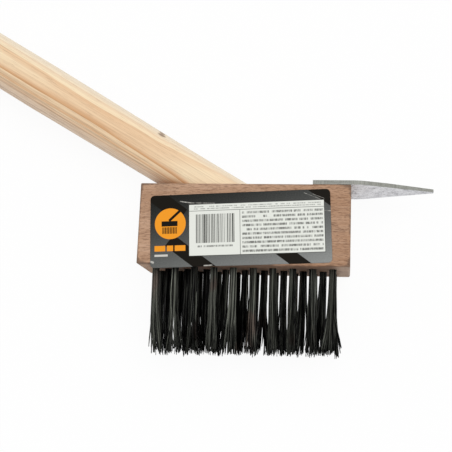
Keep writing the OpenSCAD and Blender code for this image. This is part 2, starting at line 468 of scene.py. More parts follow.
@dataclass(frozen=True)
class Beech(Finish):
    """Planed, bare beech, with its grain along X and short dark flecks.

    Attributes:
        low: Lowest corner of the piece, in millimetres.
        high: Highest corner of the piece, in millimetres.
        light: Colour of the lighter wood.
        deep: Colour of the deeper wood.
        fleck: Colour of the flecks.
        pale_fleck: Colour of the light streaks between them.
        soiled: Colour of handled edges and corners.
        underside_light_and_dust: Colour laid on the lower face: painted light, strongest at the
            right end where no tufts shade it, and a little dust.
        oil_and_shade: Colour of the wood round the tufts, dark with oil and with painted shade
            between them.
        end_light: Colour of the end grain's early wood.
        end_deep: Colour of the end grain's late wood.
        pith: Place of the rings' middle on an end face, up and out of the front.
        ring: Width of one year's ring, in millimetres.
        tufted: Half the length over which tufts stand.
        drift: How many block lengths it takes for the wood to get fully deeper.
    """

    low: Triple
    high: Triple
    light: Colour = ink(190, 154, 127)
    deep: Colour = ink(161, 122, 93)
    fleck: Colour = ink(112, 80, 60)
    pale_fleck: Colour = ink(206, 174, 150)
    soiled: Colour = ink(92, 74, 62)
    underside_light_and_dust: Colour = ink(206, 190, 176)
    oil_and_shade: Colour = ink(58, 36, 24)
    end_light: Colour = ink(170, 133, 104)
    end_deep: Colour = ink(146, 110, 83)
    pith: Pair = (-58.0, -31.0)
    ring: float = 2.3
    tufted: float = 53.0
    drift: float = 2.4

    def _rim(self, tree: ShaderTree, place: Link) -> Tuple[Signal, Signal]:
        """Measure how far the surface is from the nearest edge and corner.

        Args:
            tree: The tree that is painted.
            place: The place on the piece, in millimetres.

        Returns:
            The two distances, in millimetres.
        """
        walls = []
        for part, low, high in zip(tree.parts(place), self.low, self.high):
            walls.append((high - low) / 2 - abs(part - (low + high) / 2))
        x, y, z = walls
        return x.least(y).most(x.most(y).least(z)), x.most(y).most(z)

    def _end_grain(self, tree: ShaderTree, place: Link) -> Link:
        """Draw the growth rings of the sawn ends.

        Args:
            tree: The tree that is painted.
            place: The place on the piece, in millimetres.

        Returns:
            The colour of the end grain.
        """
        _, y, z = tree.parts(place)
        rings = tree.distance(tree.joined(0.0, y, z), (0.0, *self.pith)) / self.ring
        wobble = tree.noise(place, (0.02, 0.12, 0.12)) * 0.9
        year = (rings + wobble).part()
        pores = tree.noise(place, (0.4, 4.0, 4.0), detail=2.0)
        return tree.layered(
            self.end_light,
            (0.75 * year.step(0.35, 0.95) * year.step(1.0, 0.9), self.end_deep),
            (pores.step(0.55, 0.7) * 0.6, self.fleck),
        )

    def paint(self, tree: ShaderTree) -> None:
        """Add the finish's nodes to a tree.

        Args:
            tree: The tree that is painted.
        """
        place = tree.place()
        x, y, _ = tree.parts(place)
        face_x, face_y, _ = tree.facing()
        broad = tree.noise(place, (0.012, 0.11, 0.11), detail=2.0)
        grain = tree.noise(place, (0.06, 1.5, 1.5), detail=4.0, roughness=0.65)
        dash = tree.noise(place, (0.42, 4.2, 4.2), detail=1.0)
        thin = tree.noise(place, (0.12, 5.0, 5.0), detail=2.0, roughness=0.7)
        run = (self.high[0] - self.low[0]) * self.drift
        flecks = (dash + grain * 0.25).step(0.68, 0.77)
        colour = tree.layered(
            self.light,
            ((broad * 1.5 - 0.38 + x / run).held(), self.deep),
            (grain.step(0.5, 0.68) * 0.5, self.deep),
            (grain.step(0.5, 0.3) * 0.45, self.pale_fleck),
            (flecks * 0.7, self.fleck),
            (thin.step(0.56, 0.7) * 0.35, self.fleck),
            (abs(face_x).step(0.6, 0.8), self._end_grain(tree, place)),
        )

        edge, corner = self._rim(tree, place)
        rub = tree.noise(place, (0.11, 0.35, 0.35), detail=3.0, roughness=0.6)
        worn = (rub * 1.6 - edge * 0.45 + corner.step(8.0, 0.0) * 0.65).step(0.3, 0.95)
        stain = tree.noise(place, (0.045, 0.07, 0.07), detail=2.0)
        # Painted light on the lower face, strongest at the right end where no tufts shade it; a
        # little of it is dust.
        lit_and_dusty = face_y.step(-0.5, -0.8) * (0.08 + 0.27 * x.step(40.0, 56.0))
        # Painted shade and oil on the lower face round the tufts, deeper to the left, where the
        # tufts shade more of it.
        oil_and_shade_band = (y - self.low[1] - rub * 1.6).step(0.5, -0.5)
        oil_and_shade_band = oil_and_shade_band * abs(x).step(self.tufted + 3, self.tufted - 3)
        oil_and_shade_depth = 0.3 + 0.5 * stain + 0.22 * x.step(20.0, -15.0)
        colour = tree.layered(
            colour,
            (worn * 0.7, self.soiled),
            (stain.step(0.6, 0.78) * 0.3, self.soiled),
            (lit_and_dusty, self.underside_light_and_dust),
            ((oil_and_shade_band * oil_and_shade_depth).held(), self.oil_and_shade),
        )
        height = 0.5 * grain - 0.6 * flecks + 0.35 * thin
        tree.surface(
            {
                "Base Color": colour,
                "Roughness": 0.62 + 0.2 * grain,
                "Normal": tree.bump(height, 0.12, 0.6),
                "Specular IOR Level": 0.25,
            }
        )


@dataclass(frozen=True)
class Knot:
    """A small knot in the handle.

    Attributes:
        along: Its distance from the wooden block's top, along the handle.
        turn: Its place round the handle, in degrees from the front.
        size: Its radius, in millimetres.
    """

    along: float
    turn: float
    size: float


@dataclass(frozen=True)
class Pine(Finish):
    """Turned, bare pine, with long growth bands that run along the handle.

    Attributes:
        start: Where the handle's axis leaves the wooden block, in millimetres.
        axis: Direction of the handle, away from the block.
        side: Direction across the handle, in the plane of its slant.
        pale: Colour of the early wood.
        warm: Colour of the wood before a late band.
        late: Colour of the late bands.
        grey: Colour of the lower flank, greyer and darker as painted shade and sheen.
        line: Colour of the fine dark lines in it.
        upper_flank_light: Colour of the upper flank, lighter as painted light from above.
        corner_shade_and_dirt: Colour of the painted shade and dirt in the corner between handle and
            block.
        knot: Colour of the knots.
        pith: Place of the rings' middle, across and out of the front.
        ring: Width of one year's ring, in millimetres.
        first: Distance from the pith to the strongest late band.
        flame: How far the rings bulge at the block, which opens the bands there.
        flame_run: How far along the handle that bulge fades.
        dip: How far the lower strong band sags on its way.
        rise: How far the upper one closes in further up.
        stray: How far the bands wander beyond the part near the block.
        knots: The knots.
        radius: The handle's radius where the knots lie.
    """

    start: Triple
    axis: Triple
    side: Triple
    pale: Colour = ink(247, 227, 192)
    warm: Colour = ink(234, 199, 160)
    late: Colour = ink(209, 156, 107)
    grey: Colour = ink(226, 207, 188)
    line: Colour = ink(160, 124, 94)
    upper_flank_light: Colour = ink(242, 233, 213)
    corner_shade_and_dirt: Colour = ink(152, 96, 54)
    knot: Colour = ink(128, 100, 78)
    pith: Pair = (4.2, 59.9)
    ring: float = 2.9
    first: float = 46.8
    flame: float = 3.7
    flame_run: float = 38.0
    dip: float = 0.35
    rise: float = 0.4
    stray: float = 9.0
    knots: Tuple[Knot, ...] = (
        Knot(43.2, 55.0, 1.9),
        Knot(44.4, 66.0, 1.5),
        Knot(46.0, 78.0, 1.4),
        Knot(238.0, 20.0, 3.2),
        Knot(402.0, 205.0, 4.0),
        Knot(575.0, -60.0, 2.6),
        Knot(770.0, 120.0, 3.6),
        Knot(905.0, 10.0, 2.2),
    )
    radius: float = 14.3

    def _knot_place(self, knot: Knot) -> Triple:
        """Return a knot's place along, across and out of the front."""
        turn = math.radians(knot.turn)
        return knot.along, self.radius * math.sin(turn), self.radius * math.cos(turn)

    def _knot_masks(self, tree: ShaderTree, place: Link) -> Tuple[Signal, Signal]:
        """Find the knots and the wood that bends round them.

        Args:
            tree: The tree that is painted.
            place: The place along, across and out of the front, in millimetres.

        Returns:
            The mask of the knots and that of the wood round them.
        """
        squeeze = (0.6, 1.0, 1.0)
        spots: Link = 0.0
        bends: Link = 0.0
        for knot in self.knots:
            middle = tuple(part * scale for part, scale in zip(self._knot_place(knot), squeeze))
            reach = tree.distance(tree.stretched(place, squeeze), middle)
            spots = reach.step(1.15 * knot.size, 0.5 * knot.size) + spots
            bends = reach.step(4.5 * knot.size, 0.5 * knot.size) + bends
        return spots, bends.least(1.0)

    def _year(self, tree: ShaderTree, place: Link, bends: Link) -> Signal:
        """Count the rings out from the pith.

        Args:
            tree: The tree that is painted.
            place: The place along, across and out of the front, in millimetres.
            bends: The mask of the wood that bends round the knots.

        Returns:
            The number of rings passed, which is whole at each late band's edge.
        """
        along, across, out = tree.parts(place)
        turn = across / self.radius
        warp = tree.noise(place, (0.008, 0.05, 0.05), detail=2.0)
        wisp = tree.noise(place, (0.02, 0.16, 0.16), detail=3.0, roughness=0.5)
        reach = tree.distance(tree.joined(0.0, across, out), (0.0, *self.pith))
        apart = 0.62 + 0.38 * abs(turn - 0.14).step(0.05, 0.45)
        bulge = self.flame * apart * math.e ** (-1 * along.most(0.0) / self.flame_run)
        dip = self.dip * turn.step(0.0, -0.25) * along.step(20.0, 40.0) * along.step(78.0, 58.0)
        rise = self.rise * turn.step(0.1, 0.35) * along.step(55.0, 85.0)
        stray = (warp - 0.5) * self.stray * along.step(100.0, 260.0) + (wisp - 0.5) * 0.4
        return (reach - self.first - bulge + stray + rise - dip + bends * 1.4) / self.ring

    def paint(self, tree: ShaderTree) -> None:
        """Add the finish's nodes to a tree.

        Args:
            tree: The tree that is painted.
        """
        offset = tree.vector_math("SUBTRACT", tree.place(), self.start)
        along = tree.along(offset, self.axis)
        across = tree.along(offset, self.side)
        place = tree.joined(along, across, tree.along(offset, (0.0, 0.0, 1.0)))
        spots, bends = self._knot_masks(tree, place)
        year = self._year(tree, place, bends)
        number, part = math.floor(year), year.part()
        fibre = tree.noise(place, (0.035, 2.6, 2.6), detail=3.0, roughness=0.6)
        hair = tree.noise(place, (0.006, 1.1, 1.1), detail=3.0, roughness=0.7)
        tone = tree.noise(place, (0.006, 0.09, 0.09), detail=1.0)
        canals = tree.noise(place, (0.12, 3.8, 3.8), detail=0.0)
        turn = across / self.radius

        depth = (0.5 + 0.5 * abs(number + 1).step(0.6, 0.4)) * turn.step(0.5, 0.0)
        late = part.step(0.5, 0.9) * part.step(1.0, 0.94)
        edge = part.step(0.86, 0.95) * part.step(1.0, 0.97)
        glow = part.step(0.28, 0.6) * part.step(1.0, 0.95)
        outer = number.step(-0.6, -0.4) * turn.step(0.0, -0.2)
        low = turn.step(-0.25, -0.7)
        _, above, _ = tree.parts(offset)
        # Painted shade and dirt in the corner between the lower flank and the block.
        corner = (above + (fibre - 0.5) * 3.0).step(6.5, 0.0) * turn.step(-0.3, -0.65)
        colour = tree.layered(
            self.pale,
            ((tone * 1.7 - 0.5).held(), self.warm),
            (outer * 0.5, self.warm),
            (glow * (0.6 + 0.3 * depth), self.warm),
            (late * (0.22 + 0.68 * depth), self.late),
            (edge * depth * 0.5, self.late),
            # Painted shade and sheen: the lower flank greyer and darker, the upper flank lighter,
            # as light falls from above.
            (turn.step(-0.55, -1.0) * 0.75, self.grey),
            (turn.step(0.45, 0.95) * 0.75, self.upper_flank_light),
            (hair.step(0.47, 0.57) * (0.14 + 0.34 * low), self.line),
            (fibre.step(0.5, 0.75) * 0.25, self.line),
            (fibre.step(0.48, 0.25) * 0.3, self.pale),
            (canals.step(0.7, 0.78) * 0.35, self.knot),
            (corner * 0.75, self.corner_shade_and_dirt),
            (spots.held() * 0.85, self.knot),
        )
        height = 0.6 * fibre + 0.35 * late - 0.3 * canals
        tree.surface(
            {
                "Base Color": colour,
                "Roughness": 0.5 + 0.2 * fibre,
                "Normal": tree.bump(height, 0.1, 0.5),
                "Specular IOR Level": 0.4,
            }
        )


@dataclass(frozen=True)
class ZincSheet(Finish):
    """Mottled zinc-coated sheet, with sheared edges of bare steel.

    Attributes:
        coat: Colour of the zinc coat.
        dull: Colour of its duller patches, and of the coat's darkening towards the tip.
        speck: Colour of the small specks in it.
        sheared: Colour of the sheared edges.
        torn: Colour of the torn lines in them.
    """

    coat: Colour = ink(228, 229, 232)
    dull: Colour = ink(192, 192, 197)
    speck: Colour = ink(124, 124, 126)
    sheared: Colour = ink(136, 137, 131)
    torn: Colour = ink(104, 104, 98)

    def paint(self, tree: ShaderTree) -> None:
        """Add the finish's nodes to a tree.

        Args:
            tree: The tree that is painted.
        """
        place = tree.place()
        x, _, _ = tree.parts(place)
        _, face_y, _ = tree.facing()
        flat = abs(face_y).step(0.5, 0.85)
        cloud = tree.noise(place, (0.22, 0.22, 0.22), detail=4.0, roughness=0.65)
        fine = tree.noise(place, (1.3, 1.3, 1.3), detail=3.0, roughness=0.7)
        scratch = tree.noise(place, (0.1, 2.0, 2.6), detail=2.0)
        speck = tree.noise(place, (0.8, 1.6, 1.6), detail=1.0)
        coat = tree.layered(
            self.coat,
            # The coat turns lighter near the block and darker towards the tip.
            ((cloud * 2.4 - 0.85 + (x - 80.0) / 90.0).held(), self.dull),
            (fine.step(0.5, 0.68) * 0.75, self.dull),
            (scratch.step(0.6, 0.75) * 0.35, self.dull),
            ((speck + cloud * 0.5).step(0.8, 0.93) * 0.65, self.speck),
        )
        shear = tree.noise(place, (2.4, 0.3, 2.4), detail=2.0)
        tear = tree.noise(place, (0.12, 2.2, 0.12), detail=2.0)
        edge = tree.layered(
            self.sheared,
            (shear.step(0.4, 0.7) * 0.6, self.torn),
            (tear.step(0.5, 0.7) * 0.5, self.torn),
        )
        height = flat * (0.6 * fine + 0.4 * cloud) + (1 - flat) * (0.8 * shear + 0.6 * tear)
        tree.surface(
            {
                "Base Color": tree.tint(flat, edge, coat),
                "Metallic": 0.6 + 0.25 * flat,
                "Roughness": 0.42 + 0.2 * cloud,
                "Normal": tree.bump(height, 0.06, 0.5),
            }
        )


@dataclass(frozen=True)
class ZincScrew(Finish):
    """Bright zinc on a turned steel screw.

    Attributes:
        bright: Colour of the zinc.
        dull: Colour of its stained patches.
    """

    bright: Colour = ink(196, 196, 188)
    dull: Colour = ink(150, 148, 136)

    def paint(self, tree: ShaderTree) -> None:
        """Add the finish's nodes to a tree.

        Args:
            tree: The tree that is painted.
        """
        place = tree.place()
        stain = tree.noise(place, (0.7, 0.7, 0.7), detail=3.0, roughness=0.6)
        fine = tree.noise(place, (5.0, 5.0, 5.0), detail=2.0)
        tree.surface(
            {
                "Base Color": tree.tint(stain.step(0.4, 0.7), self.bright, self.dull),
                "Metallic": 0.9,
                "Roughness": 0.28 + 0.25 * stain,
                "Normal": tree.bump(fine, 0.03, 0.3),
            }
        )


@dataclass(frozen=True)
class BrushWire(Finish):
    """Dark, oiled spring steel.

    Attributes:
        dark: Colour of the darkest wires.
        pale: Colour of the wires that shine most.
        rust: Colour of their browner patches.
    """

    dark: Colour = ink(12, 12, 13)
    pale: Colour = ink(100, 102, 94)
    rust: Colour = ink(104, 88, 80)

    def paint(self, tree: ShaderTree) -> None:
        """Add the finish's nodes to a tree.

        Args:
            tree: The tree that is painted.
        """
        place = tree.place()
        tone = tree.signal("ShaderNodeAttribute", {"attribute_name": "tone"}, None, "Fac")
        streak = tree.noise(place, (1.8, 0.07, 1.8), detail=3.0, roughness=0.6)
        scale = tree.noise(place, (2.4, 0.9, 2.4), detail=2.0)
        shine = (tone + (streak - 0.5) * 0.9 + (scale - 0.5) * 0.35).held()
        brown = tree.noise(place, (0.09, 0.05, 0.02), detail=1.0).step(0.58, 0.7)
        steel = tree.tint(brown * 0.7, self.pale, self.rust)
        tree.surface(
            {
                "Base Color": tree.tint(shine, self.dark, steel),
                "Metallic": 1.0,
                "Roughness": 0.34 + 0.25 * scale,
                "Normal": tree.bump(scale, 0.05, 0.4),
            }
        )


@dataclass(frozen=True)
class Bar:
    """An upright rectangle of print.

    Attributes:
        left: Its left side on the label, in millimetres from the middle.
        right: Its right side.
        low: Its lower side.
        high: Its upper side.
    """

    left: float
    right: float
    low: float
    high: float

    def mask(self, tree: ShaderTree, across: Signal, up: Signal) -> Signal:
        """Find what lies inside the rectangle.

        Args:
            tree: Not used.
            across: The place across the label.
            up: The place up the label.

        Returns:
            1 inside it and 0 outside, soft by PRINT_EDGE.
        """
        wide = abs(across - (self.left + self.right) / 2) - (self.right - self.left) / 2
        tall = abs(up - (self.low + self.high) / 2) - (self.high - self.low) / 2
        return wide.most(tall).step(PRINT_EDGE, -PRINT_EDGE)


@dataclass(frozen=True)
class Disc:
    """A round spot of print.

    Attributes:
        across: Its middle across the label, in millimetres.
        up: Its middle up the label.
        radius: Its radius.
    """

    across: float
    up: float
    radius: float

    def mask(self, tree: ShaderTree, across: Signal, up: Signal) -> Signal:
        """Return 1 inside the disc."""
        reach = tree.distance(tree.joined(across, up, 0.0), (self.across, self.up, 0.0))
        return reach.step(self.radius + PRINT_EDGE, self.radius - PRINT_EDGE)


@dataclass(frozen=True)
class Slant:
    """A slanting bar of print.

    Attributes:
        across: Its middle across the label, in millimetres.
        up: Its middle up the label.
        length: Its length.
        width: Its width.
        turn: Its slant, in degrees above the label's width.
    """

    across: float
    up: float
    length: float
    width: float
    turn: float

    def mask(self, tree: ShaderTree, across: Signal, up: Signal) -> Signal:
        """Find what lies inside the bar.

        Args:
            tree: Not used.
            across: The place across the label.
            up: The place up the label.

        Returns:
            1 inside it and 0 outside, soft by PRINT_EDGE.
        """
        c, s = math.cos(math.radians(self.turn)), math.sin(math.radians(self.turn))
        right, rise = across - self.across, up - self.up
        reach = abs(right * c + rise * s) - self.length / 2
        depth = abs(rise * c - right * s) - self.width / 2
        return reach.most(depth).step(PRINT_EDGE, -PRINT_EDGE)


Shape = Union[Bar, Disc, Slant]


@dataclass(frozen=True)
class LabelPrint(Finish):
    """A glossy printed label of plain bars, rules and a small brush sign.

    Attributes:
        top: Colour of the ground at the label's upper left.
        foot: Colour of the ground at its lower right.
        shade: Colour of the slanting bands in the ground.
        paper: Colour of the panel.
        orange: Colour of the sign and of the bars under it.
        black: Colour of the bars and rules on the panel.
        bare: Colour of the paper where the print is worn off.
        size: Width and height of the label, in millimetres.
        bar_pitch: Distance from one upright bar of the panel to the next.
        stroke: Width of the short strokes that the rules are broken into.
        wear_and_glints: Fine light creases and worn spots in the print; the two at its upper left
            are painted glints.
    """

    top: Colour = ink(8, 9, 5)
    foot: Colour = ink(146, 148, 146)
    shade: Colour = ink(23, 20, 15)
    paper: Colour = ink(229, 231, 224)
    orange: Colour = ink(241, 155, 42)
    black: Colour = ink(52, 52, 48)
    bare: Colour = ink(206, 203, 196)
    size: Pair = (102.1, 41.8)
    bar_pitch: float = 0.94
    stroke: float = 0.4
    wear_and_glints: Tuple[Slant, ...] = (
        # The first two are painted glints; the rest are light creases and worn spots.
        Slant(-30.8, 16.4, 6.5, 0.55, -10.0),
        Slant(-21.0, 15.5, 14.0, 0.3, -3.0),
        Slant(41.0, 17.2, 10.0, 0.2, -24.0),
        Slant(44.6, 16.9, 7.0, 0.16, -24.0),
        Slant(49.4, 8.4, 3.6, 0.4, -3.0),
        Slant(19.0, 5.6, 9.0, 0.16, -12.0),
        Slant(-18.0, -20.4, 5.0, 0.7, 1.0),
        Slant(-50.0, -17.6, 2.2, 1.2, -20.0),
    )

    def _rules(
        self,
        tree: ShaderTree,
        across: Signal,
        up: Signal,
        area: Bar,
        pitch: float,
        seed: float,
    ) -> Signal:
        """Lay broken rules over an area, as close and as grey as small print.

        Args:
            tree: The tree that is painted.
            across: The place across the label.
            up: The place up the label.
            area: The area that the rules fill.
            pitch: The distance from rule to rule.
            seed: A number that tells one area's breaks from another's.

        Returns:
            The mask of the rules.
        """
        line = (up - area.low) / pitch
        number = math.floor(line)
        stroke = line.part().band(0.3, 0.7, 0.12)
        row = tree.joined(across, number * 7.3 + seed, seed)
        runs = tree.noise(row, (0.5, 1.0, 1.0), detail=0.0)
        cell = math.floor(across / self.stroke)
        fine = tree.dice(cell + 0.5, math.floor(line * 4))
        strokes = tree.dice(cell, number + seed) * 0.6 + fine * 0.4
        broken = runs.step(0.34, 0.38) * (0.3 + 0.7 * strokes.step(0.2, 0.75))
        return area.mask(tree, across, up) * stroke * broken

    def _bars(self, tree: ShaderTree, across: Signal, up: Signal, area: Bar) -> Signal:
        """Lay upright bars of uneven width over an area.

        Args:
            tree: The tree that is painted.
            across: The place across the label.
            up: The place up the label.
            area: The area that the bars fill.

        Returns:
            The mask of the bars.
        """
        line = (across - area.left) / self.bar_pitch
        cell = math.floor(line)
        left, right = tree.dice(cell, 11.0) * 0.3, 1 - tree.dice(cell, 17.0) * 0.55
        solid = (line.part() - left).least(right - line.part()).step(-0.05, 0.05)
        return area.mask(tree, across, up) * solid * (0.7 + 0.3 * tree.dice(cell, 23.0))

    def _ground(self, tree: ShaderTree, across: Signal, up: Signal) -> Link:
        """Shade the ground and lay its slanting bands.

        Args:
            tree: The tree that is painted.
            across: The place across the label.
            up: The place up the label.

        Returns:
            The colour of the ground.
        """
        weave = tree.noise(tree.joined(across, up, 3.0), (1.4, 2.2, 1.0), detail=3.0, roughness=0.7)
        rise = (0.58 - up / 83 + across / 330 + (weave - 0.5) * 0.4).held()
        ground = tree.ramp(rise ** 2.2, ((0.0, self.top), (1.0, self.foot)))
        bands = (
            Slant(-46.0, 19.0, 34.0, 9.0, -38.0),
            Slant(-22.0, -19.5, 46.0, 8.0, -38.0),
            Slant(33.0, -20.5, 46.0, 7.5, -38.0),
            Slant(44.0, 22.0, 40.0, 8.5, -38.0),
        )
        return tree.layered(ground, *((band.mask(tree, across, up), self.shade) for band in bands))

    def _sign(self, tree: ShaderTree, colour: Link, across: Signal, up: Signal) -> Link:
        """Lay the round brush sign and the bars round it.

        Args:
            tree: The tree that is painted.
            colour: The colour underneath.
            across: The place across the label.
            up: The place up the label.

        Returns:
            The colour on top.
        """
        shapes: Tuple[Tuple[Shape, Colour], ...] = (
            (Disc(-39.6, 4.2, 8.9), self.orange),
            (Slant(-37.2, 8.6, 8.2, 1.5, 42.0), self.shade),
            (Bar(-44.6, -35.4, 2.7, 5.7), self.shade),
            (Bar(-48.6, -42.4, -11.6, -8.4), self.orange),
            (Bar(-41.5, -37.9, -11.6, -8.4), self.orange),
            (Bar(-37.0, -30.9, -11.6, -8.4), self.orange),
            (Bar(-48.6, -41.0, -14.6, -13.4), self.bare),
        )
        bristles = Bar(-44.2, -35.8, -1.6, 2.2).mask(tree, across, up)
        return tree.layered(
            colour,
            *((shape.mask(tree, across, up), tone) for shape, tone in shapes),
            (bristles * (across * 1.1).part().band(0.2, 0.7, 0.1), self.shade),
        )

    def _panel(self, tree: ShaderTree, colour: Link, across: Signal, up: Signal) -> Link:
        """Lay the pale panel with its bars and rules.

        Args:
            tree: The tree that is painted.
            colour: The colour underneath.
            across: The place across the label.
            up: The place up the label.

        Returns:
            The colour on top.
        """
        bars = self._bars(tree, across, up, Bar(-25.0, -3.0, -7.5, 9.0))
        feet = self._rules(tree, across, up, Bar(-24.0, -4.0, -10.4, -8.4), 2.0, 2.0)
        text = self._rules(tree, across, up, Bar(1.4, 46.6, -14.0, 10.4), 2.44, 5.0)
        head = self._rules(tree, across, up, Bar(-26.0, 45.6, 11.6, 14.0), 1.2, 13.0)
        dark = bars.most(feet * 0.7).most(text * 0.8).most(head * 0.55)
        for rule in (Bar(-28.6, 47.4, 10.9, 11.15), Bar(0.1, 0.35, -15.0, 10.9)):
            dark = dark.most(rule.mask(tree, across, up))
        return tree.layered(
            colour,
            (Bar(-29.0, 47.7, -14.9, 15.0).mask(tree, across, up), self.black),
            (Bar(-28.7, 47.4, -14.6, 14.7).mask(tree, across, up), self.paper),
            (dark, self.black),
        )

    def paint(self, tree: ShaderTree) -> None:
        """Add the finish's nodes to a tree.

        Args:
            tree: The tree that is painted.
        """
        place = tree.add("ShaderNodeAttribute", {"attribute_name": "print"}).outputs["Vector"]
        across, up, _ = tree.parts(place)
        colour = self._ground(tree, across, up)
        colour = self._sign(tree, colour, across, up)
        colour = self._panel(tree, colour, across, up)
        rub = tree.noise(place, (0.5, 0.5, 0.5), detail=4.0, roughness=0.7)
        rim = (self.size[0] / 2 - abs(across)).least(self.size[1] / 2 - abs(up))
        worn = (rub - rim * 0.3).step(0.6, 0.7)
        # Light creases and worn spots, and two painted glints at the upper left, laid on as bare
        # paper.
        for crease in self.wear_and_glints:
            worn = worn.most(crease.mask(tree, across, up) * rub.step(0.3, 0.6))
        colour = tree.tint(worn * 0.8, colour, self.bare)
        tree.surface(
            {
                "Base Color": colour,
                "Roughness": 0.32 + 0.2 * rub + worn * 0.3,
                "Normal": tree.bump(rub, 0.05, 0.25),
                "Specular IOR Level": 0.05,
            }
        )


class MeshDraft:
    """Points and faces of a mesh that is being made, in millimetres."""

    def __init__(self) -> None:
        """Start with no points and no faces."""
        self.points: List[Triple] = []
        self.faces: List[Tuple[int, ...]] = []

    def strip(self, rings: Sequence[Sequence[Triple]]) -> None:
        """Join rings of points into a closed tube.

        Args:
            rings: Rings of as many points each, from end to end.
        """
        first, count = len(self.points), len(rings[0])
        for ring in rings:
            self.points.extend(ring)
        for level in range(len(rings) - 1):
            low, high = first + level * count, first + (level + 1) * count
            for corner in range(count):
                after = (corner + 1) % count
                self.faces.append((low + corner, low + after, high + after, high + corner))
        last = first + (len(rings) - 1) * count
        self.faces.append(tuple(first + corner for corner in reversed(range(count))))
        self.faces.append(tuple(last + corner for corner in range(count)))

    def build(
        self,
        name: str,
        numbers: Optional[Mapping[str, Sequence[float]]] = None,
        vectors: Optional[Mapping[str, Sequence[Triple]]] = None,
    ) -> bpy.types.Object:
        """Make the mesh and its object.

        Args:
            name: The piece's name.
            numbers: Named numbers, one for each point.
            vectors: Named vectors, one for each point.

        Returns:
            The object, in the scene and in metres.
        """
        mesh = bpy.data.meshes.new(name)
        places = [tuple(part * MM for part in point) for point in self.points]
        mesh.from_pydata(places, [], self.faces)
        for label, values in (numbers or {}).items():
            mesh.attributes.new(label, "FLOAT", "POINT").data.foreach_set("value", values)
        for label, triples in (vectors or {}).items():
            flat = [part for triple in triples for part in triple]
            mesh.attributes.new(label, "FLOAT_VECTOR", "POINT").data.foreach_set("vector", flat)
        mesh.validate()
        piece = bpy.data.objects.new(name, mesh)
        bpy.context.scene.collection.objects.link(piece)
        return piece


def node_box(node: str) -> Tuple[Vector, Vector]:
    """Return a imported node's lowest and highest corner, in millimetres."""
    low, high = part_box(node)
    return low / MM, high / MM


def dress_node(node: str, material: bpy.types.Material) -> bpy.types.Object:
    """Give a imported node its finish.

    Args:
        node: The node's name.
        material: The finish.

    Returns:
        The node's object.
    """
    piece = frame["nodes"][node]
    if not piece.material_slots:
        piece.data.materials.append(material)
    for place in piece.material_slots:
        place.link = "OBJECT"
        place.material = material
    return piece


def add_piece(
    piece: bpy.types.Object, material: bpy.types.Material, slot: Slot, *nodes: str
) -> None:
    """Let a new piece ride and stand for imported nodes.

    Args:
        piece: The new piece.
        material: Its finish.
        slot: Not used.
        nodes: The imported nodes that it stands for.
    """
    piece.data.materials.append(material)
    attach(piece, "root")
    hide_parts(*nodes)


class Assembly(ABC):
    """A part of the brush that is built or dressed as one."""

    @abstractmethod
    def build(self) -> List[bpy.types.Object]:
        """Build and dress the assembly.

        Returns:
            Its pieces.
        """


@dataclass
class WoodenBlock(Assembly):
    """The drilled block that carries the tufts.

    Attributes:
        node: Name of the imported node.
    """

    node: str = "block"

    def build(self) -> List[bpy.types.Object]:
        """Dress the block and return it."""
        low, high = node_box(self.node)
        return [dress_node(self.node, Beech(tuple(low), tuple(high)).material())]


@dataclass
class Handle(Assembly):
    """The slanting turned handle.

    Attributes:
        node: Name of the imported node.
        mount: Name of the record's mount that gives the handle's axis.
    """

    node: str = "handle"
    mount: str = "handle_shaft"

    def build(self) -> List[bpy.types.Object]:
        """Dress the handle, with its wood along its own axis.

        Returns:
            The handle.
        """
        mounts = {mount["name"]: mount for mount in frame["record"]["mounts"]}
        axis = Vector(mounts[self.mount]["axis"]).normalized()
        middle = Vector(mounts[self.mount]["pos_m"]) / MM
        top = node_box("block")[1].y
        start = middle - axis * ((middle.y - top) / axis.y)
        side = Vector((axis.y, -axis.x, 0.0))
        return [dress_node(self.node, Pine(tuple(start), tuple(axis), tuple(side)).material())]


@dataclass
class Hardware(Assembly):
    """The scraper, its screws, the handle's screw and the staples.

    Attributes:
        finishes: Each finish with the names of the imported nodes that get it.
    """

    finishes: Tuple[Tuple[Finish, Tuple[str, ...]], ...] = (
        (ZincSheet(), ("scraper",)),
        (ZincScrew(), ("scraper_screws", "handle_screw", "staples")),
    )

    def build(self) -> List[bpy.types.Object]:
        """Dress the metal pieces.

        Returns:
            The pieces.
        """
        pieces = []
        for finish, nodes in self.finishes:
            material = finish.material()
            pieces += [dress_node(node, material) for node in nodes]
        return pieces


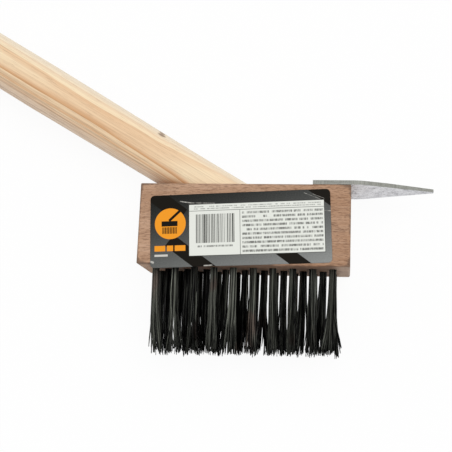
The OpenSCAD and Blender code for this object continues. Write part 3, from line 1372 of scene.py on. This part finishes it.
@dataclass
class Label(Assembly):
    """The printed label, a thin sheet stuck on the block's face.

    Attributes:
        node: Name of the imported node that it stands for.
        width: Width of the label, in millimetres.
        height: Height of the label.
        turn: Its turn on the block's face, in degrees.
        corner: Radius of its corners.
        thickness: Thickness of the sheet.
        cells: Cells of the sheet's mesh between the corners, across and up.
        corner_cells: Cells in a corner.
        gap: Thickness of the glue under it.
        wave: Height of the waves in it.
        crease: Height of the crease across its upper corner.
        corner_lift: How far its lower right corner has come off.
        curl: How far its lower edge curls up for each millimetre, left of the middle.
        sag: How far it bends back below the block's lower edge.
    """

    node: str = "label"
    width: float = 102.1
    height: float = 41.8
    turn: float = 2.86
    corner: float = 2.4
    thickness: float = 0.14
    cells: Tuple[int, int] = (72, 28)
    corner_cells: int = 4
    gap: float = 0.03
    wave: float = 0.05
    crease: float = 0.1
    corner_lift: float = 0.22
    curl: float = 0.1
    sag: float = 0.12

    def _lines(self, size: float, cells: int) -> List[float]:
        """Space the mesh's lines over one size of the sheet.

        Args:
            size: Width or height of the sheet.
            cells: Cells between the corners.

        Returns:
            The lines' places, from the middle.
        """
        inner = size / 2 - self.corner
        rim = [self.corner * step / self.corner_cells for step in range(self.corner_cells)]
        middle = [-inner + 2 * inner * step / cells for step in range(cells + 1)]
        ends = [size / 2 - step for step in rim]
        return [-place for place in ends] + middle + ends[::-1]

    def _rounded(self, across: float, up: float) -> Pair:
        """Pull a point of the plain rectangle into the round-cornered one.

        Args:
            across: The point's place across the label.
            up: Its place up the label.

        Returns:
            Its new place.
        """
        inner_x, inner_y = self.width / 2 - self.corner, self.height / 2 - self.corner
        a, b = (abs(across) - inner_x) / self.corner, (abs(up) - inner_y) / self.corner
        if a <= 0 or b <= 0:
            return across, up
        round_a, round_b = a * math.sqrt(1 - b * b / 2), b * math.sqrt(1 - a * a / 2)
        return (
            math.copysign(inner_x + self.corner * round_a, across),
            math.copysign(inner_y + self.corner * round_b, up),
        )

    def _lift(self, across: float, up: float, below: float) -> float:
        """Return how far the sheet has lifted from the wood.

        Args:
            across: The place across the label.
            up: The place up the label.
            below: How far the place hangs below the block's lower edge.

        Returns:
            The lift, in millimetres.
        """
        wave = self.wave * (math.sin(across * 0.23 + 1.0) * math.cos(up * 0.31) + 1.0)
        crease = self.crease * math.exp(-(((up - 0.35 * across - 26.0) / 1.4) ** 2))
        corner = self.corner_lift * math.exp(-((across - 50.0) ** 2 + (up + 20.0) ** 2) / 40.0)
        curl = self.curl * max(0.0, -up - 17.0) * math.exp(-(((across + 20.0) / 16.0) ** 2))
        sag = self.sag * max(0.0, below - 0.6) ** 1.5
        return self.gap + wave + crease + corner + curl - sag

    def build(self) -> List[bpy.types.Object]:
        """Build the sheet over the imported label.

        Returns:
            The sheet.
        """
        low, high = node_box(self.node)
        middle = (low + high) / 2
        face, foot = node_box("block")[1].z, node_box("block")[0].y
        c, s = math.cos(math.radians(self.turn)), math.sin(math.radians(self.turn))
        columns = self._lines(self.width, self.cells[0])
        rows = self._lines(self.height, self.cells[1])
        draft, prints = MeshDraft(), []
        for layer in (0.0, self.thickness):
            for up in rows:
                for across in columns:
                    u, v = self._rounded(across, up)
                    x, y = middle.x + u * c - v * s, middle.y + u * s + v * c
                    draft.points.append((x, y, face + self._lift(u, v, foot - y) + layer))
                    prints.append((u, v, 0.0))
        wide, tall = len(columns), len(rows)
        top = wide * tall
        for row in range(tall - 1):
            for column in range(wide - 1):
                a = row * wide + column
                quad = (a, a + 1, a + 1 + wide, a + wide)
                draft.faces.append(tuple(top + point for point in quad))
                draft.faces.append(quad[::-1])
        rim = list(range(wide))
        rim += [row * wide + wide - 1 for row in range(1, tall)]
        rim += [(tall - 1) * wide + column for column in range(wide - 2, -1, -1)]
        rim += [row * wide for row in range(tall - 2, 0, -1)]
        for here, after in zip(rim, rim[1:] + rim[:1]):
            draft.faces.append((here, after, top + after, top + here))
        piece = draft.build("label_sheet", vectors={"print": prints})
        for polygon in piece.data.polygons:
            polygon.use_smooth = True
        add_piece(piece, LabelPrint().material(), Slot.LABEL, self.node)
        return [piece]


@dataclass(frozen=True)
class Strand:
    """One flat wire of a tuft; across and out are its two sideways directions.

    Attributes:
        foot: Place of its foot from the tuft's middle, across and out.
        spread: How far its tip is moved from its foot by leaning.
        wave: How far it sways on its way.
        beat: How many sways it makes, and where the first begins.
        facing: Turn of its flat side, and how far that twists, in radians.
        length: Its free length.
        tone: How much it shines, from 0 to 1.
        curl: How much of its lean comes late, near the tip.
    """

    foot: Pair
    spread: Pair
    wave: Pair
    beat: Pair
    facing: Pair
    length: float
    tone: float
    curl: float = 0.75

    def centre(self, share: float) -> Pair:
        """Find the wire's middle at a share of its length.

        Args:
            share: The share, below 0 inside the hole.

        Returns:
            The place from the tuft's middle, across and out.
        """
        run = max(0.0, share)
        reach = (1 - self.curl) * run + self.curl * run**3
        sway = run * math.sin(math.tau * (self.beat[0] * run + self.beat[1]))
        return (
            self.foot[0] + self.spread[0] * reach + self.wave[0] * sway,
            self.foot[1] + self.spread[1] * reach + self.wave[1] * sway,
        )


@dataclass(frozen=True)
class Lock:
    """A few wires of a tuft that cling together.

    Attributes:
        foot: Place of its middle from the tuft's middle, across and out.
        bend: How far its tip is moved from its foot.
        reach: How much longer its wires are than others.
        tone: How much more they shine.
    """

    foot: Pair
    bend: Pair
    reach: float
    tone: float


@dataclass
class TuftField(Assembly):
    """The tufts of flat steel wire, each folded and stapled into its hole.

    Attributes:
        counts: Tufts in each row.
        strands: Wires in a tuft.
        wire: Width and thickness of one flat wire, in millimetres.
        root_radius: Radius of the circle in which the wires stand.
        root_depth: How far the wires are followed into their hole.
        length: Mean free length of the wires.
        length_slope: How much longer the wires get for each millimetre along the block.
        ragged: How much shorter or longer a wire may be.
        lean: Spread of a tip for each millimetre of its foot from the middle.
        jitter: Random part of that spread, in millimetres.
        locks: Locks of clinging wires in a tuft.
        cling: How far a wire's tip moves towards the middle of its lock.
        reach: How much of the raggedness is the lock's and how much the wire's own.
        loose: Random part of a wire's own spread, in millimetres.
        strays: Share of the wires that stray, and how many times looser they are.
        sway: How far a wire sways.
        sways: Fewest and most sways of a wire.
        twist: How far a wire twists, in radians.
        ends_push: How far the tufts at the left and right end are bent across.
        push_fade: How much of that bend the next tuft keeps.
        push_jitter: Random part of that bend, in millimetres.
        end_splay: How much more the tufts at the right end spread.
        splay_fade: How much of that spread the next tuft keeps.
        shine: Middle and spread of the wires' tones in each row; the middle and back rows are
            darker as painted shade from the front row.
        bare: Share of the wires that are bare, and how much more they shine.
        lock_tone: How much the locks of a tuft differ in shine.
        mood: How much the tufts differ from each other in shine.
        mood_slope: How much more a tuft shines for each millimetre along the block.
        steps: Pieces of one wire along its length.
        tip: Width of a worn tip, as a share of the wire's width.
        tip_dark: How much less a wire shines at its oily tip.
        root_shade: How much less it shines at its root, as painted shade under the block.
        seed: Seed of the random numbers.
    """

    counts: Dict[Row, int] = field(
        default_factory=lambda: {Row.FRONT: 10, Row.MIDDLE: 9, Row.BACK: 10}
    )
    strands: int = 38
    wire: Pair = (0.6, 0.34)
    root_radius: float = 1.86
    root_depth: float = 4.0
    length: float = 46.3
    length_slope: float = -0.015
    ragged: float = 3.4
    lean: float = 1.0
    jitter: float = 0.9
    locks: int = 8
    cling: float = 0.25
    reach: Pair = (0.35, 0.6)
    loose: float = 0.35
    strays: Pair = (0.1, 3.0)
    sway: float = 0.45
    sways: Pair = (0.5, 1.4)
    twist: float = 0.5
    ends_push: Pair = (2.4, -0.6)
    push_fade: float = 0.45
    push_jitter: float = 0.5
    end_splay: float = 1.1
    splay_fade: float = 0.4
    # Painted shade: the middle and back rows, which the front row shades, draw far darker tones.
    shine: Dict[Row, Pair] = field(
        default_factory=lambda: {
            Row.FRONT: (0.39, 0.27),
            Row.MIDDLE: (0.02, 0.06),
            Row.BACK: (0.1, 0.12),
        }
    )
    bare: Pair = (0.08, 0.45)
    lock_tone: float = 0.07
    mood: float = 0.09
    mood_slope: float = -0.0035
    steps: int = 10
    tip: float = 0.55
    tip_dark: float = 0.66
    root_shade: float = 0.28
    seed: int = 11

    def _oil_and_shade(self, share: float) -> float:
        """Return how much of its shine a wire keeps at a share of its length: less at its oily tip,
        and less at its root as painted shade under the block.
        """
        return 1 - self.tip_dark * share**2 - self.root_shade * (1 - share) ** 3

    def _tone(self, row: Row, dice: random.Random) -> float:
        """Draw how much a wire shines.

        Args:
            row: The tuft's row.
            dice: Source of the random numbers.

        Returns:
            The tone, from 0 for an oily wire to 1 for a bare one; the rows behind the front one
            draw darker tones, as painted shade.
        """
        middle, spread = self.shine[row]
        bare = self.bare[1] if dice.random() < self.bare[0] else 0.0
        return min(1.0, max(0.0, dice.gauss(middle, spread) + bare))

    def _lock(self, lean: float, push: float, dice: random.Random) -> Lock:
        """Draw one lock of wires that cling together.

        Args:
            lean: Spread of its tip for each millimetre from the tuft's middle.
            push: How far the whole tuft is bent across, in millimetres.
            dice: Source of the random numbers.

        Returns:
            The lock.
        """
        turn, share = dice.uniform(0.0, math.tau), math.sqrt(dice.random())
        radius = self.root_radius * share
        foot = (radius * math.cos(turn), radius * math.sin(turn))
        bend = [lean * part + dice.gauss(0.0, self.jitter) for part in foot]
        reach = dice.uniform(-self.ragged, self.ragged)
        return Lock(foot, (bend[0] + push, bend[1]), reach, dice.gauss(0.0, self.lock_tone))

    def _strand(
        self,
        number: int,
        row: Row,
        length: float,
        locks: Sequence[Lock],
        mood: float,
        dice: random.Random,
    ) -> Strand:
        """Draw one wire of a tuft.

        Args:
            number: Its number in the tuft.
            row: The tuft's row.
            length: Mean free length of the tuft's wires.
            locks: The locks of the tuft's wires.
            mood: How much more its wires shine than those of other tufts.
            dice: Source of the random numbers.

        Returns:
            The wire.
        """
        golden = math.pi * (3 - math.sqrt(5))
        radius = self.root_radius * math.sqrt((number + 0.5) / self.strands)
        foot = (radius * math.cos(number * golden), radius * math.sin(number * golden))
        lock = min(locks, key=lambda other: math.dist(other.foot, foot))
        loose = self.loose * (self.strays[1] if dice.random() < self.strays[0] else 1.0)
        spread = [
            bend + self.cling * (middle - part) + dice.gauss(0.0, loose)
            for bend, middle, part in zip(lock.bend, lock.foot, foot)
        ]
        wave = (dice.gauss(0.0, self.sway), dice.gauss(0.0, self.sway))
        beat = (dice.uniform(*self.sways), dice.random())
        facing = (dice.uniform(0.0, math.pi), dice.gauss(0.0, self.twist))
        own = dice.uniform(-self.ragged, self.ragged)
        return Strand(
            foot=foot,
            spread=(spread[0], spread[1]),
            wave=wave,
            beat=beat,
            facing=facing,
            length=length + self.reach[0] * lock.reach + self.reach[1] * own,
            tone=max(0.0, self._tone(row, dice) * (1 + mood) + lock.tone),
        )

    def _rings(self, strand: Strand, root: Vector) -> List[List[Triple]]:
        """Work out the four-cornered rings of one wire.

        Args:
            strand: The wire.
            root: The middle of the tuft's hole, at the block's lower face.

        Returns:
            The rings, from the root to the tip.
        """
        rings = []
        start = -self.root_depth / strand.length
        for step in range(self.steps + 1):
            share = start + (1 - start) * step / self.steps
            across, out = strand.centre(share)
            turn = strand.facing[0] + strand.facing[1] * max(0.0, share)
            c, s = math.cos(turn), math.sin(turn)
            slim = self.tip if step == self.steps else 1.0
            x, y, z = root.x + across, root.y - share * strand.length, root.z + out
            ring = []
            for wide, thick in ((-1, -1), (1, -1), (1, 1), (-1, 1)):
                a, b = wide * slim * self.wire[0] / 2, thick * slim * self.wire[1] / 2
                ring.append((x + a * c - b * s, y, z + a * s + b * c))
            rings.append(ring)
        return rings

    @staticmethod
    def _root(node: str, underside: float) -> Vector:
        """Find the middle of a packed tuft's root.

        Args:
            node: The tuft's name.
            underside: Height of the block's lower face, in millimetres.

        Returns:
            The middle of its hole at the block's lower face.
        """
        points = [vertex.co / MM for vertex in frame["nodes"][node].data.vertices]
        inside = [point for point in points if point.y > underside + 2.0]
        low = [min(point[part] for point in inside) for part in range(3)]
        high = [max(point[part] for point in inside) for part in range(3)]
        return Vector(((low[0] + high[0]) / 2, underside, (low[2] + high[2]) / 2))

    def build(self) -> List[bpy.types.Object]:
        """Build all tufts, row by row.

        Returns:
            The tufts.
        """
        material = BrushWire().material()
        underside = node_box("block")[0].y
        pieces = []
        for row, count in self.counts.items():
            for number in range(1, count + 1):
                node = f"tuft_{row.value}_{number}"
                dice = random.Random(f"{self.seed} {node}")
                root = self._root(node, underside)
                left, right = number - 1, count - number
                push = self.ends_push[0] * self.push_fade**left
                push += self.ends_push[1] * self.push_fade**right
                push += dice.gauss(0.0, self.push_jitter)
                mood = dice.gauss(0.0, self.mood) + self.mood_slope * root.x
                lean = self.lean + self.end_splay * self.splay_fade**right
                length = self.length + self.length_slope * root.x
                locks = [self._lock(lean, push, dice) for _ in range(self.locks)]
                draft, tones = MeshDraft(), []
                for wire in range(self.strands):
                    strand = self._strand(wire, row, length, locks, mood, dice)
                    draft.strip(self._rings(strand, root))
                    for step in range(self.steps + 1):
                        tones += [strand.tone * self._oil_and_shade(step / self.steps)] * 4
                piece = draft.build(f"wires_{row.value}_{number}", numbers={"tone": tones})
                add_piece(piece, material, Slot.WIRE, node)
                pieces.append(piece)
        return pieces


@dataclass(frozen=True)
class PaleFloor(Finish):
    """A plain pale floor that keeps the shadows laid on it.

    Attributes:
        colour: The floor's own colour.
        glow: How much of what is seen of it is plain white.
    """

    colour: Colour = (0.92, 0.92, 0.92)
    glow: float = 0.93

    def paint(self, tree: ShaderTree) -> None:
        """Add the finish's nodes to a tree.

        Args:
            tree: The tree that is painted.
        """
        matt = tree.add("ShaderNodeBsdfDiffuse", inputs={"Color": self.colour})
        white = tree.add("ShaderNodeEmission", inputs={"Color": (1.0, 1.0, 1.0), "Strength": 1.0})
        mixed = tree.add(
            "ShaderNodeMixShader",
            inputs={0: tree.seen() * self.glow, 1: matt.outputs[0], 2: white.outputs[0]},
        )
        tree.add("ShaderNodeOutputMaterial", inputs={"Surface": mixed.outputs[0]})


@dataclass
class Studio:
    """The floor, the soft light and the white surroundings.

    Attributes:
        floor_radius: Radius of the floor, in metres.
        floor_turns: Corners round its rim.
        floor_drop: How far it lies below the brush, in millimetres.
        sky: Strength of the light from all sides.
        sun: Strength of the soft light from above.
        sun_from: Direction from which it comes.
        sun_angle: How wide it is, in degrees.
    """

    floor_radius: float = 14.0
    floor_turns: int = 96
    floor_drop: float = 0.05
    sky: float = 0.66
    sun: float = 1.2
    sun_from: Triple = (0.35, 0.16, 0.9)
    sun_angle: float = 50.0

    def _floor(self) -> None:
        """Lay the round floor under the brush."""
        draft = MeshDraft()
        reach = self.floor_radius / MM
        for turn in range(self.floor_turns):
            angle = math.tau * turn / self.floor_turns
            place = (reach * math.cos(angle), reach * math.sin(angle), -self.floor_drop)
            draft.points.append(place)
        draft.faces.append(tuple(range(self.floor_turns)))
        floor = draft.build("floor")
        floor.data.materials.append(PaleFloor().material())

    def _surroundings(self) -> None:
        """Make the world white to the eye and soft as a light."""
        world = bpy.data.worlds.new("surroundings")
        bpy.context.scene.world = world
        tree = ShaderTree(world)
        seen = tree.seen()
        strength = seen + (1 - seen) * self.sky
        glow = {"Color": (1.0, 1.0, 1.0), "Strength": strength}
        white = tree.add("ShaderNodeBackground", inputs=glow)
        tree.add("ShaderNodeOutputWorld", inputs={"Surface": white.outputs[0]})

    def _sun(self) -> None:
        """Hang the soft light from above."""
        light = bpy.data.lights.new("soft_sun", "SUN")
        light.energy = self.sun
        light.angle = math.radians(self.sun_angle)
        lamp = bpy.data.objects.new("soft_sun", light)
        lamp.rotation_euler = Vector(self.sun_from).to_track_quat("Z", "Y").to_euler()
        bpy.context.scene.collection.objects.link(lamp)

    def build(self) -> None:
        """Build the floor, the surroundings and the light."""
        self._floor()
        self._surroundings()
        self._sun()
        bpy.context.scene.view_settings.view_transform = "Standard"


@dataclass
class Viewpoint:
    """The camera above the brush.

    Attributes:
        position: Where it stands, in millimetres.
        aim: The point on the block's face that it looks at.
        roll: Its turn about its line of sight, in degrees.
        lens: Its focal length, in millimetres.
        sensor: Width of its sensor.
        clip: Nearest and farthest that it sees, in metres.
    """

    position: Triple = (58.28, -97.60, 525.16)
    aim: Triple = (-9.52, -1.20, 38.0)
    roll: float = 2.318
    lens: float = 70.957
    sensor: float = 36.0
    clip: Pair = (0.01, 100.0)

    def build(self) -> bpy.types.Object:
        """Make the camera.

        Returns:
            The camera.
        """
        position = Vector(self.position)
        back = (position - Vector(self.aim)).normalized()
        right = Vector((0.0, 1.0, 0.0)).cross(back).normalized()
        turn = Matrix((right, back.cross(right), back)).transposed().to_4x4()
        camera = bpy.data.objects.new("camera", bpy.data.cameras.new("camera"))
        camera.data.lens = self.lens
        camera.data.sensor_width = self.sensor
        camera.data.clip_start, camera.data.clip_end = self.clip
        spin = Matrix.Rotation(math.radians(self.roll), 4, "Z")
        camera.matrix_world = Matrix.Translation(position * MM) @ turn @ spin
        bpy.context.scene.collection.objects.link(camera)
        bpy.context.scene.camera = camera
        return camera


def main() -> None:
    """Build the brush and its studio, and report each piece."""
    logging.basicConfig(level=logging.INFO, format="%(message)s")
    Viewpoint().build()
    for assembly in (WoodenBlock(), Handle(), Hardware(), Label(), TuftField()):
        for piece in assembly.build():
            faces = len(piece.data.polygons)
            log.info("%s: %s, %d faces", type(assembly).__name__, piece.name, faces)
    Studio().build()


if __name__ == "__main__":
    main()
